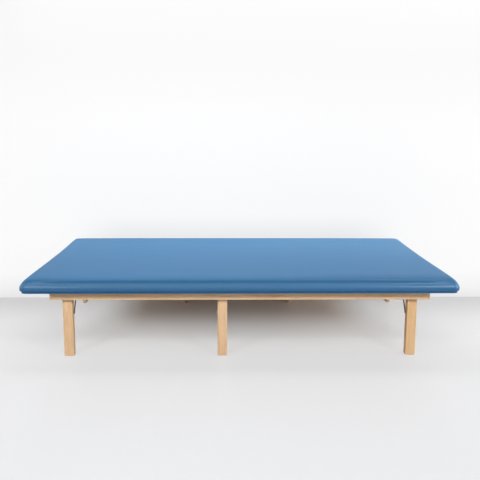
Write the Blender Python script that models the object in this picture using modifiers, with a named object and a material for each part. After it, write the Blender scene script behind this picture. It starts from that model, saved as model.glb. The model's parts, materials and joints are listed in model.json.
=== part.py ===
"""A padded mat platform that stands at a wall and folds up against it.

X runs along the platform, Y away from the person who faces it, Z up, in metres. The floor is
at zero, and X and Y are zero at the middle of the whole. A low base of four upright boards
carries the hinge rail. The platform hinges on that rail. Its front stands on three legs that
fold back under the board, each held open by a stay of two steel links.
"""

import math

import bmesh
import bpy
from mathutils import Matrix, Vector

# Clearances between pieces, and allowances for cutting
seat_gap = 0.0003
running_gap = 0.0005
joint_overlap = 0.001
union_step = 0.0001
cut_overrun = 0.002
weld_distance = 0.00001

# Platform: the mat, its board, and the cover's hem round the board's edge
mat_length = 2.162
mat_depth = 1.219
board_height = 0.332
board_thickness = 0.019
foam_thickness = 0.0545
crown_rise = 0.009
side_draw_in = 0.005
hem_inset = 0.009
hem_thickness = 0.0015
hem_return = 0.031
hem_under_thickness = 0.0012
corner_radius = 0.040

# Where the mat's cage is sliced along, across and up, as shares of its sizes
along_shares = (0.035, 0.10, 0.30, 0.50, 0.70, 0.90, 0.965)
across_shares = (0.06, 0.17, 0.50, 0.83, 0.94)
up_shares = (0.12, 0.36, 0.72)
crown_sharpness = 4

# How far the mat's side stands in from its fullest line, at its foot and at its top, and what
# the rounding takes off that line
roll_low_inset = hem_inset
roll_top_inset = 0.029
roll_full_share = 0.22
rounding_loss = 0.0036

# Frame under the board
rail_thickness = 0.019
rail_height = 0.040
rail_setback = 0.043
rail_end_inset = 0.1445
joist_share = 0.162
wood_arris = 0.0015

# Legs
leg_width = 0.048
leg_thickness = 0.038
end_leg_inset = 0.226
middle_leg_share = -0.0421
leg_arris = 0.002

# Base at the wall
wall_gap = 0.024
upright_thickness = 0.019
outer_upright_inset = 0.0915
inner_upright_share = 0.153
hinge_rail_depth = 0.030
hinge_rail_height = 0.060
base_rail_gap = 0.005
shoulder_clearance = 0.020
shoulder_fillet = 0.018
ledger_thickness = 0.019
ledger_height = 0.090
ledger_shoulder_gap = 0.042

# Butt hinges, alike under the board and on the legs but for their width
barrel_radius = 0.0032
leaf_thickness = 0.0020
leaf_reach = 0.030
leaf_clearance = 0.0008
leaf_hem_clearance = 0.015
pin_radius = 0.0016
pin_end = 0.0012
knuckle_gap = 0.0003
fold_hinge_width = 0.120
fold_hinge_share = 0.324
screw_hole_radius = 0.0036
leg_knuckles = 3
fold_knuckles = 5

# Screws across a leaf, as shares of its width, and whether each is in the row by the pin
screw_rows = ((-0.36, 0), (-0.13, 1), (0.13, 1), (0.36, 0))
near_row_share = 0.48
far_row_share = 0.78

# Stays: where the foot sits on the leg and the head under the board, from the leg's hinge
stay_foot_drop = 0.112
stay_foot_inset = 0.009
stay_head_setback = 0.065
link_width = 0.014
link_thickness = 0.0025
link_spacing = 0.0022
bracket_thickness = 0.0025
bracket_flange = 0.024
bracket_length = 0.030
bracket_ear_margin = 0.008
bracket_screw_share = 0.25
rivet_radius = 0.0025
rivet_head_radius = 0.0045
rivet_head_height = 0.0015
rivet_crown_share = 0.55
bolt_radius = 0.0030
bolt_head_radius = 0.0065
bolt_head_height = 0.0032
bolt_depth = 0.022
bolt_flat_share = 0.6
bolt_rim_share = 0.4

# Facets
hole_sides = 10
barrel_sides = 12
turned_sides = 12
corner_steps = 4
fillet_steps = 4
arris_segments = 1
hole_turn = math.radians(7)
smoothing_angle = math.radians(35)

# Places that follow from the sizes. Those named as shares are shares of the mat's length
joist_offset = mat_length * joist_share
end_leg_offset = mat_length / 2 - end_leg_inset
middle_leg_offset = mat_length * middle_leg_share
outer_upright_offset = mat_length / 2 - outer_upright_inset
inner_upright_offset = mat_length * inner_upright_share
fold_hinge_offset = mat_length * fold_hinge_share
whole_depth = mat_depth + wall_gap
front = -whole_depth / 2
wall = whole_depth / 2
mat_rear = front + mat_depth
board_top = board_height + board_thickness
rail_front = front + rail_setback
rail_back = rail_front + rail_thickness
leg_front = rail_back + seat_gap
leg_rear = leg_front + leg_thickness
hinge_offset = barrel_radius + seat_gap
hem_back = mat_rear - hem_inset - hem_thickness - hem_return
fold_axis = Vector((0, hem_back - leaf_hem_clearance - leaf_reach, board_height - hinge_offset))
hinge_rail_rear = fold_axis.y - hinge_offset
base_front = hinge_rail_rear - hinge_rail_depth
shoulder_height = fold_axis.z - (mat_rear - fold_axis.y) - shoulder_clearance
ledger_high = shoulder_height - ledger_shoulder_gap
ledger_low = ledger_high - ledger_height
hinge_rail_low = board_height - seat_gap - hinge_rail_height
rear_rail_back = base_front - base_rail_gap
rear_rail_front = rear_rail_back - rail_thickness

legs = {
    "left": (-end_leg_offset, 1),
    "middle": (middle_leg_offset, -1),
    "right": (end_leg_offset, -1),
}

# Plans drawn flat are stood up: facing along X, or with their thickness along Y
side_on = Matrix(((0, 0, 1, 0), (1, 0, 0, 0), (0, 1, 0, 0), (0, 0, 0, 1)))
lengthwise = Matrix.Rotation(math.pi / 2, 4, "Y")
hanging_leaf = Matrix(((-1, 0, 0, 0), (0, 0, -1, 0), (0, -1, 0, 0), (0, 0, 0, 1)))


def clear_scene():
    for thing in list(bpy.data.objects):
        bpy.data.objects.remove(thing)


def new_collection(name):
    group = bpy.data.collections.new(name)
    bpy.context.scene.collection.children.link(group)
    return group


def finish(name, colour, roughness, metallic=0.0):
    """A plain surface with the colour of the real one."""
    material = bpy.data.materials.new(name)
    material.use_nodes = True
    shader = material.node_tree.nodes["Principled BSDF"]
    shader.inputs["Base Color"].default_value = (*colour, 1)
    shader.inputs["Roughness"].default_value = roughness
    shader.inputs["Metallic"].default_value = metallic
    material.diffuse_color = (*colour, 1)
    return material


def add_pivot(name, place, parent=None):
    """An empty on a joint's axis, which carries the pieces that turn there."""
    pivot = bpy.data.objects.new(name, None)
    pivot.empty_display_size = leg_width
    pivot.location = place - (pivot_places[parent.name] if parent else Vector())
    pivot.parent = parent
    pivot_places[name] = place.copy()
    parts.objects.link(pivot)
    return pivot


def add_piece(name, mesh, material, pivot):
    """Hangs a mesh that was made in its place on its pivot, with its origin there."""
    mesh.transform(Matrix.Translation(-pivot_places[pivot.name]))
    mesh.materials.append(material)
    piece = bpy.data.objects.new(name, mesh)
    piece.parent = pivot
    parts.objects.link(piece)
    return piece


def smooth(piece):
    piece.data.shade_smooth()
    piece.data.set_sharp_from_angle(angle=smoothing_angle)


def to_mesh(form):
    """Closes a bmesh up, faces it outwards and turns it into a mesh."""
    bmesh.ops.remove_doubles(form, verts=form.verts, dist=weld_distance)
    bmesh.ops.recalc_face_normals(form, faces=form.faces)
    mesh = bpy.data.meshes.new("form")
    form.to_mesh(mesh)
    form.free()
    return mesh


def evaluated(thing, placement):
    """The mesh that an unlinked object's modifiers or curve make, moved by a matrix."""
    bpy.context.scene.collection.objects.link(thing)
    graph = bpy.context.evaluated_depsgraph_get()
    form = bmesh.new()
    mesh = bpy.data.meshes.new_from_object(thing.evaluated_get(graph))
    form.from_mesh(mesh)
    bmesh.ops.transform(form, matrix=placement, verts=form.verts)
    bpy.data.objects.remove(thing)
    bpy.data.meshes.remove(mesh)
    return to_mesh(form)


def timber(low, high, arris):
    """A sawn piece between two corners, with its edges eased."""
    size = [b - a for a, b in zip(low, high)]
    middle = [(a + b) / 2 for a, b in zip(low, high)]
    form = bmesh.new()
    shape = Matrix.Translation(middle) @ Matrix.Diagonal((*size, 1))
    bmesh.ops.create_cube(form, size=1, matrix=shape)
    bmesh.ops.bevel(
        form, geom=form.edges, offset=arris, segments=arris_segments, affect="EDGES", profile=0.5
    )
    return to_mesh(form)


def plate(outlines, thickness, placement):
    """A flat piece: the first outline is its edge, and the others are holes."""
    curve = bpy.data.curves.new("outline", "CURVE")
    curve.dimensions = "2D"
    curve.fill_mode = "BOTH"
    curve.extrude = thickness / 2
    for points in outlines:
        spline = curve.splines.new("POLY")
        spline.points.add(len(points) - 1)
        for spot, (across, up) in zip(spline.points, points):
            spot.co = (across, up, 0, 1)
        spline.use_cyclic_u = True
    return evaluated(bpy.data.objects.new("outline", curve), placement)


def turned(profile, placement):
    """A round piece from (radius, height) points that run down its outer side."""
    form = bmesh.new()
    rim = [form.verts.new((radius, 0, height)) for radius, height in profile]
    for upper, lower in zip(rim, rim[1:]):
        form.edges.new((upper, lower))
    mesh = bpy.data.meshes.new("profile")
    form.to_mesh(mesh)
    form.free()
    thing = bpy.data.objects.new("profile", mesh)
    screw = thing.modifiers.new("turn", "SCREW")
    screw.steps = turned_sides
    screw.render_steps = turned_sides
    screw.use_merge_vertices = True
    screw.merge_threshold = weld_distance
    return evaluated(thing, placement)


def combined(mesh, others, operation):
    """One mesh joined with others, or cut by them."""
    thing = bpy.data.objects.new("body", mesh)
    tools = []
    for other in others:
        tool = bpy.data.objects.new("tool", other)
        tools.append(tool)
        boolean = thing.modifiers.new("tool", "BOOLEAN")
        boolean.operation = operation
        boolean.object = tool
        bpy.context.scene.collection.objects.link(tool)
    result = evaluated(thing, Matrix())
    for tool in tools:
        bpy.data.objects.remove(tool)
    return result


def arc(centre, radius, start, end, steps):
    """Points along an arc, its angles in radians, both ends included."""
    angles = [start + (end - start) * step / steps for step in range(steps + 1)]
    return [
        (centre[0] + radius * math.cos(angle), centre[1] + radius * math.sin(angle))
        for angle in angles
    ]


def circle(centre, radius, sides, turn=0.0):
    return arc(centre, radius, turn, turn + 2 * math.pi, sides)[:-1]


def rounded_rectangle(half_length, low, high, radius):
    """The outline of a board with round corners, from its half length and its two sides."""
    outline = []
    corners = ((1, high, 0), (-1, high, 1), (-1, low, 2), (1, low, 3))
    for side, edge, quarter in corners:
        inward = -radius if edge == high else radius
        centre = (side * (half_length - radius), edge + inward)
        start = quarter * math.pi / 2
        outline += arc(centre, radius, start, start + math.pi / 2, corner_steps)
    return outline


def level(height):
    return Matrix.Translation((0, 0, height))


def add_upright(name, offset, tongue_top):
    """A board on edge, cut down behind so that the mat's rear can swing down past it."""
    notch_low = ledger_low - seat_gap
    notch_high = ledger_high + seat_gap
    notch = wall - ledger_thickness - seat_gap
    inside = (hinge_rail_rear + shoulder_fillet, shoulder_height + shoulder_fillet)
    outline = [
        (base_front, 0),
        (wall, 0),
        (wall, notch_low),
        (notch, notch_low),
        (notch, notch_high),
        (wall, notch_high),
        (wall, shoulder_height),
        *arc(inside, shoulder_fillet, -math.pi / 2, -math.pi, fillet_steps),
        (hinge_rail_rear, tongue_top),
        (base_front, tongue_top),
    ]
    place = Matrix.Translation((offset, 0, 0)) @ side_on
    add_piece(name, plate([outline], upright_thickness, place), birch, base)


def add_base():
    """Four uprights, the hinge rail between and on them, and the ledger that meets the wall."""
    outer_top = board_height - seat_gap
    inner_top = hinge_rail_low - seat_gap
    add_upright("upright_left", -outer_upright_offset, outer_top)
    add_upright("upright_inner_left", -inner_upright_offset, inner_top)
    add_upright("upright_inner_right", inner_upright_offset, inner_top)
    add_upright("upright_right", outer_upright_offset, outer_top)
    half = outer_upright_offset - upright_thickness / 2 - seat_gap
    rail = timber(
        (-half, base_front, hinge_rail_low),
        (half, hinge_rail_rear, board_height - seat_gap),
        wood_arris,
    )
    add_piece("hinge_rail", rail, birch, base)
    reach = outer_upright_offset + upright_thickness / 2
    ledger = timber(
        (-reach, wall - ledger_thickness, ledger_low),
        (reach, wall, ledger_high),
        wood_arris,
    )
    add_piece("wall_ledger", ledger, birch, base)


def add_board():
    """The plywood board, and the cover's hem that is drawn round its edge and stapled under."""
    half = mat_length / 2 - hem_inset
    low, high = front + hem_inset, mat_rear - hem_inset
    cloth = hem_thickness + seat_gap
    edge = rounded_rectangle(half - cloth, low + cloth, high - cloth, corner_radius - cloth)
    middle = level(board_height + board_thickness / 2)
    add_piece("platform_board", plate([edge], board_thickness, middle), plywood, platform)

    under = board_height - seat_gap - hem_under_thickness
    rim = rounded_rectangle(half, low, high, corner_radius)
    inner = rounded_rectangle(
        half - hem_thickness, low + hem_thickness, high - hem_thickness, corner_radius - hem_thickness
    )
    band_low = under - union_step
    band = plate([rim, inner], board_top - band_low, level((board_top + band_low) / 2))
    tuck = hem_thickness / 2
    turned_in = rounded_rectangle(half - tuck, low + tuck, high - tuck, corner_radius - tuck)
    back = hem_thickness + hem_return
    opening = rounded_rectangle(
        half - back, low + back, high - back, max(corner_radius - back, hem_thickness)
    )
    flange = plate([turned_in, opening], hem_under_thickness, level(under + hem_under_thickness / 2))
    add_piece("cover_hem", combined(band, [flange], "UNION"), vinyl, platform)


def add_mat():
    """The foam mat: crowned on top, full near its foot, and drawn in between its corners."""
    base_z = board_top + seat_gap
    form = bmesh.new()
    size = (mat_length, mat_depth, foam_thickness)
    corner = (-mat_length / 2, front, base_z)
    middle = [low + extent / 2 for low, extent in zip(corner, size)]
    shape = Matrix.Translation(middle) @ Matrix.Diagonal((*size, 1))
    bmesh.ops.create_cube(form, size=1, matrix=shape)
    for axis, shares in enumerate((along_shares, across_shares, up_shares)):
        normal = Vector([float(i == axis) for i in range(3)])
        for share in shares:
            cut = [*form.verts, *form.edges, *form.faces]
            spot = Vector(corner) + normal * size[axis] * share
            bmesh.ops.bisect_plane(form, geom=cut, plane_co=spot, plane_no=normal)

    for vert in form.verts:
        along = 2 * vert.co.x / mat_length
        across = 2 * (vert.co.y - front) / mat_depth - 1
        up = (vert.co.z - base_z) / foam_thickness
        swell = (1 - abs(along) ** crown_sharpness) * (1 - abs(across) ** crown_sharpness)
        if up < roll_full_share:
            fall = (1 - up / roll_full_share) ** 2
            roll = (roll_low_inset + rounding_loss) * fall - rounding_loss
        else:
            rise = ((up - roll_full_share) / (1 - roll_full_share)) ** 2
            roll = (roll_top_inset + rounding_loss) * rise - rounding_loss
        drawn_x = roll + side_draw_in * (1 - across**2) * min(1, up / roll_full_share)
        drawn_y = roll + side_draw_in * (1 - along**2) * min(1, up / roll_full_share)
        vert.co.x -= along ** crown_sharpness * math.copysign(drawn_x, along)
        vert.co.y -= across ** crown_sharpness * math.copysign(drawn_y, across)
        vert.co.z += crown_rise * swell * up

    foot = base_z + weld_distance
    creases = form.edges.layers.float.new("crease_edge")
    for edge in form.edges:
        rim = len([face for face in edge.link_faces if face.calc_center_median().z < foot]) == 1
        if rim and all(vert.co.z < foot for vert in edge.verts):
            edge[creases] = 1
    mat = add_piece("mat", to_mesh(form), vinyl, platform)
    rounding = mat.modifiers.new("soft form", "SUBSURF")
    rounding.levels = 1
    rounding.render_levels = 1
    mat.data.shade_smooth()


def add_frame():
    """The rails and joists that stiffen the board, all glued and screwed under it."""
    top = board_height - seat_gap
    low = board_height - rail_height
    half = mat_length / 2 - rail_end_inset
    side = half - rail_thickness
    inner_front = rail_back + seat_gap
    inner_rear = rear_rail_front - seat_gap
    pieces = {
        "front_rail": ((-half, rail_front, low), (half, rail_back, top)),
        "rear_rail": ((-half, rear_rail_front, low), (half, rear_rail_back, top)),
        "end_rail_left": ((-half, inner_front, low), (-side, inner_rear, top)),
        "end_rail_right": ((side, inner_front, low), (half, inner_rear, top)),
    }
    for name, offset in (("joist_left", -joist_offset), ("joist_right", joist_offset)):
        pieces[name] = (
            (offset - rail_thickness / 2, inner_front, low),
            (offset + rail_thickness / 2, inner_rear, top),
        )
    for name, (corner, far_corner) in pieces.items():
        add_piece(name, timber(corner, far_corner, wood_arris), birch, platform)


def knuckle_spans(width, count, first):
    """The start and end along the pin of every other knuckle."""
    pitch = width / count
    for index in range(first, count, 2):
        start = index * pitch - width / 2
        yield start + knuckle_gap, start + pitch - knuckle_gap


def screw_spots(width):
    """Where a leaf is screwed, in its own plan: staggered in two rows."""
    near, far = leaf_reach * near_row_share, leaf_reach * far_row_share
    return [(width * share, near if row else far) for share, row in screw_rows]


def leaf(width, count, first, placement):
    """A hinge leaf: a drilled plate with knuckles rolled round the pin's place."""
    top = barrel_radius
    low = top - leaf_thickness
    start = barrel_radius + leaf_clearance
    half = width / 2
    edge = [(-half, start), (half, start), (half, leaf_reach), (-half, leaf_reach)]
    # Each hole's facets are turned a little further, so that no two have corners in line
    holes = [
        circle(spot, screw_hole_radius, hole_sides, hole_turn * number)
        for number, spot in enumerate(screw_spots(width))
    ]
    flat = plate([edge, *holes], leaf_thickness, level((top + low) / 2))

    inner, outer = low + union_step, top - union_step
    begin = math.asin(inner / barrel_radius)
    finish_angle = math.asin(outer / barrel_radius) - 2 * math.pi
    reach = start + joint_overlap
    barrel = [
        (reach, inner),
        *arc((0, 0), barrel_radius, begin, finish_angle, barrel_sides),
        (reach, outer),
    ]
    bore = circle((0, 0), pin_radius + seat_gap, barrel_sides)
    knuckles = []
    for low_end, high_end in knuckle_spans(width, count, first):
        place = Matrix.Translation(((low_end + high_end) / 2, 0, 0)) @ side_on
        knuckles.append(plate([barrel, bore], high_end - low_end, place))
    joined = combined(flat, knuckles, "UNION")
    joined.transform(placement)
    return joined


def pin(width, axis):
    """A hinge's pin, a little longer than its barrel."""
    length = width + 2 * pin_end
    form = bmesh.new()
    bmesh.ops.create_cone(
        form,
        cap_ends=True,
        segments=barrel_sides,
        radius1=pin_radius,
        radius2=pin_radius,
        depth=length,
        matrix=Matrix.Translation(axis) @ lengthwise,
    )
    return to_mesh(form)


def add_fold_hinges():
    """The butt hinges that carry the platform on the hinge rail."""
    for place_name, offset in (("left", -fold_hinge_offset), ("middle", 0), ("right", fold_hinge_offset)):
        axis = fold_axis + Vector((offset, 0, 0))
        place = Matrix.Translation(axis)
        hung = place @ hanging_leaf
        moving = leaf(fold_hinge_width, fold_knuckles, 0, place)
        fixed = leaf(fold_hinge_width, fold_knuckles, 1, hung)
        smooth(add_piece(f"fold_hinge_{place_name}_board_leaf", moving, steel, platform))
        smooth(add_piece(f"fold_hinge_{place_name}_rail_leaf", fixed, steel, base))
        smooth(add_piece(f"fold_hinge_{place_name}_pin", pin(fold_hinge_width, axis), steel, platform))


def leg_axis(offset):
    """The line that a leg folds about, level with its top and behind its rear face."""
    return Vector((offset, leg_rear + hinge_offset, board_height - hinge_offset))


def stay_points(offset):
    """The stay's foot, elbow and head at rest: it is straight then, and folds flat with the leg."""
    axis = leg_axis(offset)
    inset = stay_foot_inset + hinge_offset
    foot = Vector((-inset, -stay_foot_drop))
    head = Vector((stay_head_setback, -inset))
    folded_foot = Vector((stay_foot_drop, -inset))
    open_span = (head - foot).length
    folded_span = (folded_foot - head).length
    lower = (open_span + folded_span) / 2
    elbow = foot + (head - foot) * lower / open_span
    return [Vector((axis.y + spot.x, axis.z + spot.y)) for spot in (foot, elbow, head)]


def link(start, end, hole_radius, thickness, place):
    """A flat steel link with round ends and a hole at each, between two points."""
    along = math.atan2(end.y - start.y, end.x - start.x)
    radius = link_width / 2
    edge = arc(start, radius, along + math.pi / 2, along + 3 * math.pi / 2, 2 * corner_steps)
    edge += arc(end, radius, along - math.pi / 2, along + math.pi / 2, 2 * corner_steps)
    holes = [circle(start, hole_radius[0], hole_sides), circle(end, hole_radius[1], hole_sides)]
    return plate([edge, *holes], thickness, place)


def rivet_shape(shank_start, shank_end, heads):
    """A rivet's profile from its lower end to its upper one, with a head where one is asked."""
    low_head, high_head = heads
    crown = rivet_head_radius * rivet_crown_share
    profile = []
    if high_head:
        top = shank_end + rivet_head_height
        profile += [(0, top), (crown, top), (rivet_head_radius, shank_end), (rivet_radius, shank_end)]
    else:
        profile += [(0, shank_end), (rivet_radius, shank_end)]
    if low_head:
        foot = shank_start - rivet_head_height
        profile += [(rivet_radius, shank_start), (rivet_head_radius, shank_start), (crown, foot), (0, foot)]
    else:
        profile += [(rivet_radius, shank_start), (0, shank_start)]
    return profile


def add_leg(name, offset, side):
    """One leg with its hinge and its stay, which stands on the side that faces inwards."""
    axis = leg_axis(offset)
    half = leg_width / 2
    leg_pivot = add_pivot(f"leg_{name}_pivot", axis, platform)
    face = offset + side * half
    outward = Matrix.Rotation(side * math.pi / 2, 4, "Y")
    foot, elbow, head = stay_points(offset)

    # The leg, drilled for the bolt that carries its stay
    post = timber(
        (offset - half, leg_front, 0), (offset + half, leg_rear, board_height - seat_gap), leg_arris
    )
    hole_radius = bolt_radius + seat_gap
    hole_end = bolt_depth + seat_gap
    drill = turned(
        [(0, cut_overrun), (hole_radius, cut_overrun), (hole_radius, -hole_end), (0, -hole_end)],
        Matrix.Translation((face, *foot)) @ outward,
    )
    add_piece(f"leg_{name}", combined(post, [drill], "DIFFERENCE"), birch, leg_pivot)

    # Its butt hinge: one leaf behind the leg, one under the board
    place = Matrix.Translation(axis)
    hung = place @ hanging_leaf
    board_leaf = leaf(leg_width, leg_knuckles, 0, place)
    leg_leaf = leaf(leg_width, leg_knuckles, 1, hung)
    smooth(add_piece(f"leg_{name}_board_leaf", board_leaf, steel, platform))
    smooth(add_piece(f"leg_{name}_hinge_leaf", leg_leaf, steel, leg_pivot))
    smooth(add_piece(f"leg_{name}_hinge_pin", pin(leg_width, axis), steel, platform))

    # Distances out from the leg's side: the lower link, a gap, the upper link, the bracket
    lower_in = running_gap
    lower_out = lower_in + link_thickness
    upper_in = lower_out + link_spacing
    upper_out = upper_in + link_thickness
    ear_in = upper_out + running_gap
    ear_out = ear_in + bracket_thickness

    def beside(spot, distance):
        return Vector((face + side * distance, *spot))

    def flat_at(inner, outer):
        return Matrix.Translation((face + side * (inner + outer) / 2, 0, 0)) @ side_on

    def along_bolt(spot):
        return Matrix.Translation(beside(spot, 0)) @ outward

    shank_hole = rivet_radius + seat_gap
    lower_pivot = add_pivot(f"leg_{name}_stay_lower_pivot", beside(foot, lower_in), leg_pivot)
    upper_pivot = add_pivot(f"leg_{name}_stay_upper_pivot", beside(head, upper_in), platform)
    lower_holes = (bolt_radius + seat_gap, shank_hole)
    lower = link(foot, elbow, lower_holes, link_thickness, flat_at(lower_in, lower_out))
    upper = link(elbow, head, (shank_hole, shank_hole), link_thickness, flat_at(upper_in, upper_out))
    smooth(add_piece(f"leg_{name}_stay_lower", lower, steel, lower_pivot))
    smooth(add_piece(f"leg_{name}_stay_upper", upper, steel, upper_pivot))

    # The bolt that holds the stay's foot to the leg
    under_head = lower_out + seat_gap
    bolt = turned(
        [
            (0, under_head + bolt_head_height),
            (bolt_head_radius * bolt_flat_share, under_head + bolt_head_height),
            (bolt_head_radius, under_head + bolt_head_height * bolt_rim_share),
            (bolt_head_radius, under_head),
            (bolt_radius, under_head),
            (bolt_radius, -bolt_depth),
            (0, -bolt_depth),
        ],
        along_bolt(foot),
    )
    smooth(add_piece(f"leg_{name}_stay_bolt", bolt, steel, leg_pivot))

    # The elbow's rivet, in two halves: a collared one on the lower link, a cap on the upper
    collar = turned(
        [
            (0, upper_in - seat_gap),
            (rivet_head_radius, upper_in - seat_gap),
            (rivet_head_radius, lower_out + seat_gap),
            (rivet_radius, lower_out + seat_gap),
            (rivet_radius, lower_in),
            (0, lower_in),
        ],
        along_bolt(elbow),
    )
    smooth(add_piece(f"leg_{name}_elbow_rivet", collar, steel, lower_pivot))
    cap = turned(rivet_shape(upper_in, upper_out + seat_gap, (False, True)), along_bolt(elbow))
    smooth(add_piece(f"leg_{name}_elbow_cap", cap, steel, upper_pivot))

    # The bracket under the board: a steel angle with its ear hanging beside the upper link
    ear_low = head.y - bracket_ear_margin
    flange_top = board_height - seat_gap
    flange_low = flange_top - bracket_thickness
    angle_outline = [
        (ear_in, ear_low),
        (ear_out, ear_low),
        (ear_out, flange_low),
        (ear_in + bracket_flange, flange_low),
        (ear_in + bracket_flange, flange_top),
        (ear_in, flange_top),
    ]
    outline = [(face + side * out, up) for out, up in angle_outline]
    stand_up = Matrix.Translation((0, head.x, 0)) @ Matrix.Rotation(math.pi / 2, 4, "X")
    angle = plate([outline], bracket_length, stand_up)
    tools = [
        turned(
            [
                (0, ear_out + cut_overrun),
                (shank_hole, ear_out + cut_overrun),
                (shank_hole, ear_in - cut_overrun),
                (0, ear_in - cut_overrun),
            ],
            along_bolt(head),
        )
    ]
    screw_out = (ear_out + ear_in + bracket_flange) / 2
    for step in (-1, 1):
        along = head.x + step * bracket_length * bracket_screw_share
        spot = (face + side * screw_out, along, flange_low)
        hole = [
            (0, bracket_thickness + cut_overrun),
            (screw_hole_radius, bracket_thickness + cut_overrun),
            (screw_hole_radius, -cut_overrun),
            (0, -cut_overrun),
        ]
        tools.append(turned(hole, Matrix.Translation(spot)))
    smooth(
        add_piece(f"leg_{name}_stay_bracket", combined(angle, tools, "DIFFERENCE"), steel, platform)
    )
    rivet = rivet_shape(upper_in - seat_gap, ear_out + seat_gap, (True, True))
    smooth(add_piece(f"leg_{name}_stay_rivet", turned(rivet, along_bolt(head)), steel, platform))


clear_scene()
parts = new_collection("mat_platform")
pivot_places = {}
vinyl = finish("blue vinyl", (0.115, 0.265, 0.470), 0.42)
birch = finish("clear-lacquered birch", (0.730, 0.480, 0.270), 0.45)
plywood = finish("birch plywood", (0.620, 0.430, 0.260), 0.55)
steel = finish("bright zinc-plated steel", (0.560, 0.560, 0.550), 0.35, 1.0)

base = add_pivot("base", Vector())
platform = add_pivot("platform_pivot", fold_axis, base)
add_base()
add_board()
add_mat()
add_frame()
add_fold_hinges()
for leg_name, (leg_offset, stay_side) in legs.items():
    add_leg(leg_name, leg_offset, stay_side)
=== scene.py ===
import json
import math

import bmesh
import bpy
from mathutils import Matrix, Vector, noise

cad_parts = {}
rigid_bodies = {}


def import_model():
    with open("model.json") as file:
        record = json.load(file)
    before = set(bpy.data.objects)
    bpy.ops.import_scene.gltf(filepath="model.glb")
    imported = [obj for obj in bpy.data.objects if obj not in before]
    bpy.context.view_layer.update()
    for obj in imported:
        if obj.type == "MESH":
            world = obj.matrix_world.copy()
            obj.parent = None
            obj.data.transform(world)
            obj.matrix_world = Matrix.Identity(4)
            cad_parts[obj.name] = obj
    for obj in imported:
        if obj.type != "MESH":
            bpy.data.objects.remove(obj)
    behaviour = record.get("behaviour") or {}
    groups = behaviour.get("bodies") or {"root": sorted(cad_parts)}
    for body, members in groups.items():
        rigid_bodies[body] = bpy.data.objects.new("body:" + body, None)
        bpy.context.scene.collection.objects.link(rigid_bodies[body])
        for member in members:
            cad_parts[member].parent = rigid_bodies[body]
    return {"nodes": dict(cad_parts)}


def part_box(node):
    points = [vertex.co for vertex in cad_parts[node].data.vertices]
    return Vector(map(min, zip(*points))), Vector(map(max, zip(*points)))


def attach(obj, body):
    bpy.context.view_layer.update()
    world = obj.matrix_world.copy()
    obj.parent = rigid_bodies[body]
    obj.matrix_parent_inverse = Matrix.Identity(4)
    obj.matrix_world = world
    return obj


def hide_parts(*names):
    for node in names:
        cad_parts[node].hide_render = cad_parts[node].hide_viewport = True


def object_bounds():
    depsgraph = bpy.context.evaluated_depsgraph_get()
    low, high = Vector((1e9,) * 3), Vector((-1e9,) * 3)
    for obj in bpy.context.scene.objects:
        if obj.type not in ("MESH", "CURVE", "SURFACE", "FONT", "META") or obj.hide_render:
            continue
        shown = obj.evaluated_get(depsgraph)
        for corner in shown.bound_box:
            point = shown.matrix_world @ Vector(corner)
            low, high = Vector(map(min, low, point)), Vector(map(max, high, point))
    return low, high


for thing in list(bpy.data.objects):
    bpy.data.objects.remove(thing)
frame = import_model()
nodes = frame["nodes"]
cad_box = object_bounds()

# The camera stands before the platform, a little left of its middle, and looks slightly down on
# it. Its place and angles were fitted to the mat, rails and legs in a square frame of 480 pixels.
frame_pixels = 480
focal_pixels = 681.0
camera_place = Vector((-0.0766, -3.8347, 1.1364))
camera_pitch = 0.166
camera_yaw = 0.0219
camera_roll = -0.0037

lens = bpy.data.cameras.new("camera")
lens.sensor_width = 36
lens.lens = focal_pixels / frame_pixels * lens.sensor_width
camera = bpy.data.objects.new("camera", lens)
bpy.context.scene.collection.objects.link(camera)
bpy.context.scene.camera = camera
forward = Vector(
    (
        math.sin(camera_yaw) * math.cos(camera_pitch),
        math.cos(camera_yaw) * math.cos(camera_pitch),
        -math.sin(camera_pitch),
    )
)
level = Vector((math.cos(camera_yaw), -math.sin(camera_yaw), 0))
down = forward.cross(level)
across = math.cos(camera_roll) * level + math.sin(camera_roll) * down
up = math.sin(camera_roll) * level - math.cos(camera_roll) * down
turned = Matrix((across, up, -forward)).transposed().to_4x4()
camera.matrix_world = Matrix.Translation(camera_place) @ turned


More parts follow.
